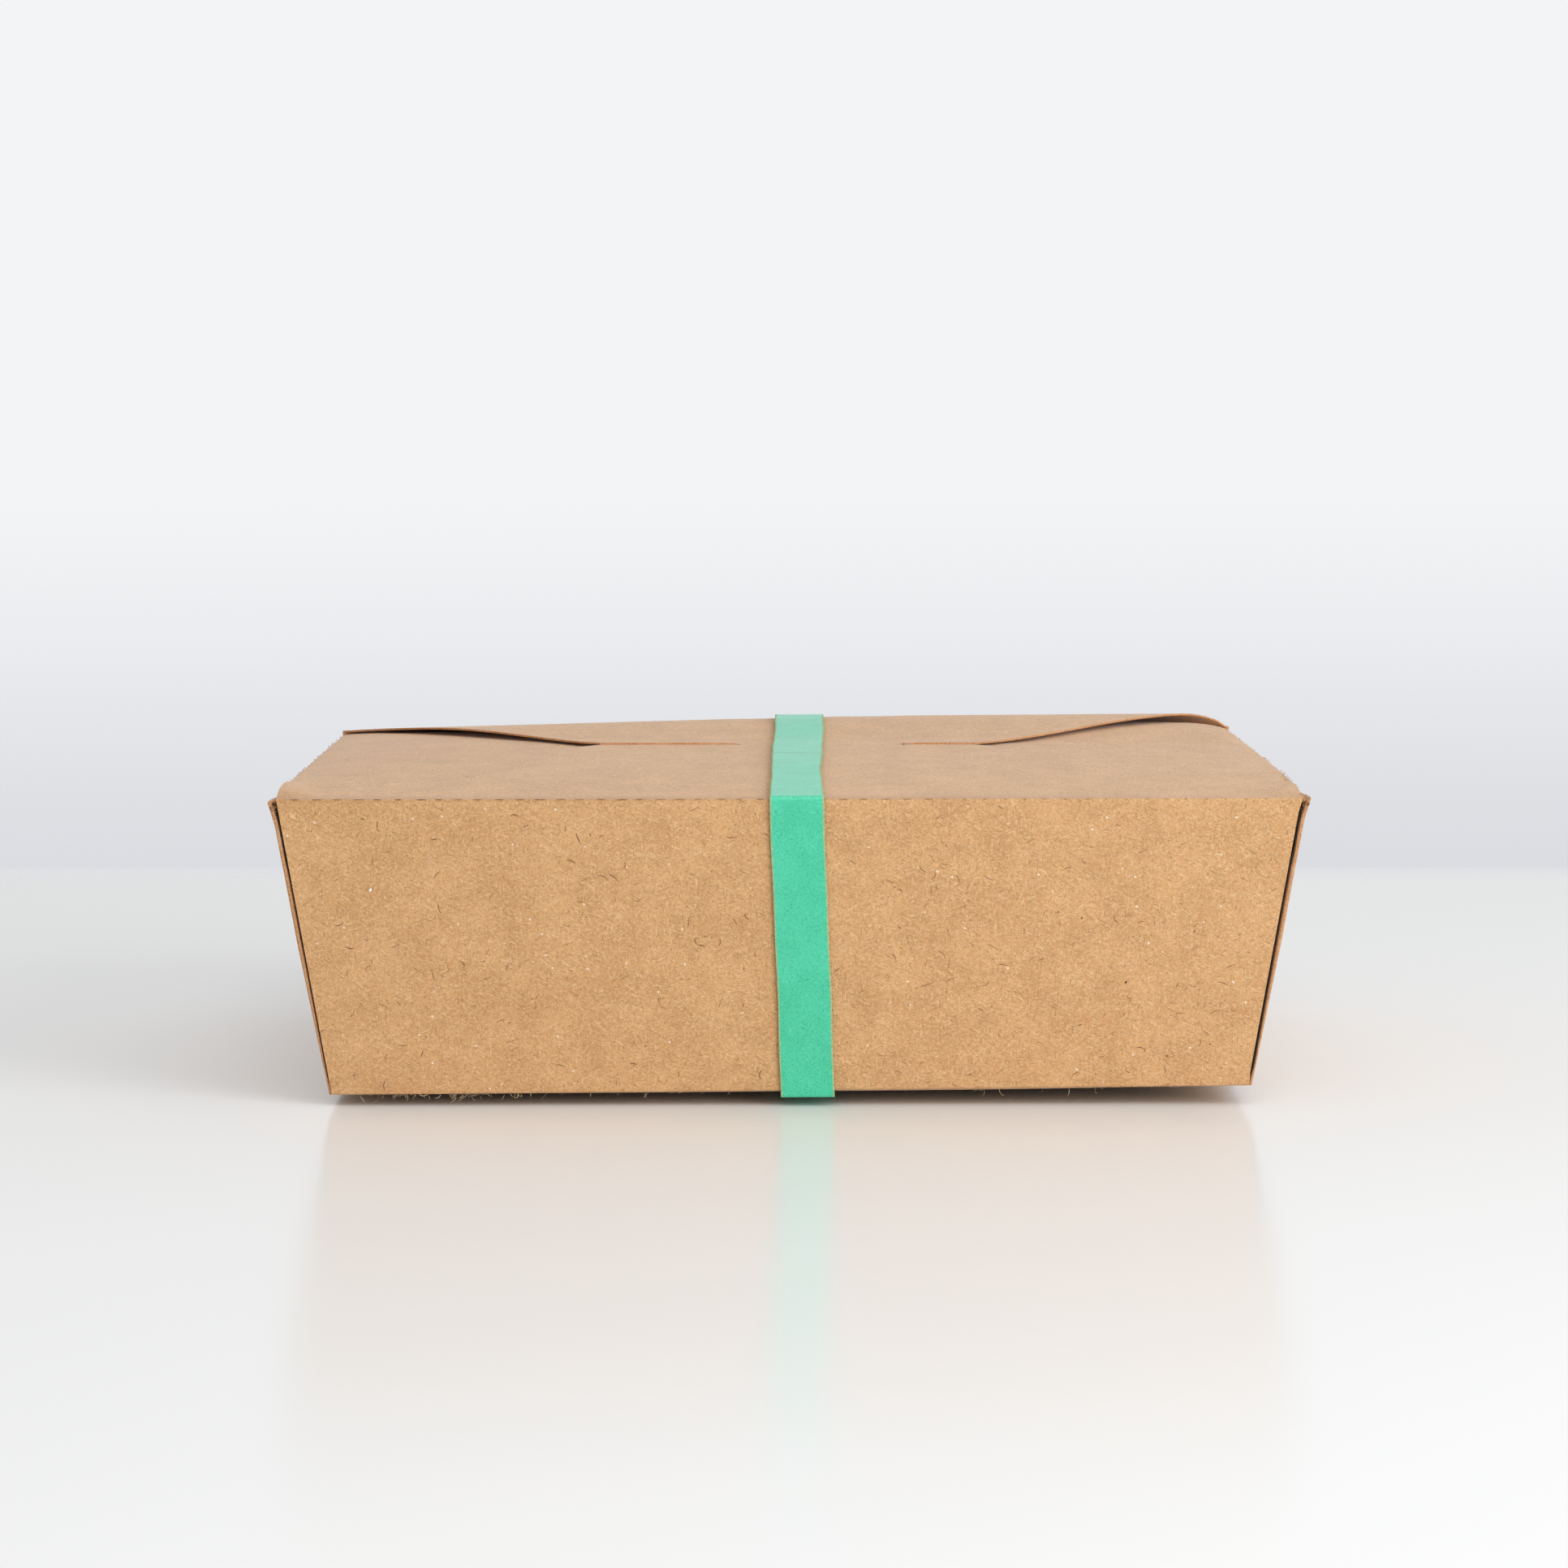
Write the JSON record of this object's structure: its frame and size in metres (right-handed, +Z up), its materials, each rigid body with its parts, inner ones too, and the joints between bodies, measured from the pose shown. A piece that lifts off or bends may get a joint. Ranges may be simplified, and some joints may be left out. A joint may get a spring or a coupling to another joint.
{
  "type": "noodle takeaway box",
  "caption": "Shut takeaway meal box of folded kraft board with tapered walls, end flaps under a tucked top flap, and a narrow paper band wrapped around its middle.",
  "frame": {"origin": "centre of the bounding box on the table plane, below the middle of the bottom panel", "axes": "+X along the long side, +Y from the front wall to the back wall, +Z up"},
  "size_m": [0.2208, 0.1612, 0.073],
  "materials": {
    "kraft_board": "matte, uncoated, fibrous",
    "band_paper": "matte printed paper"
  },
  "bodies": {
    "root": {"box": "kraft_board", "band": "band_paper"}
  },
  "joints": []
}
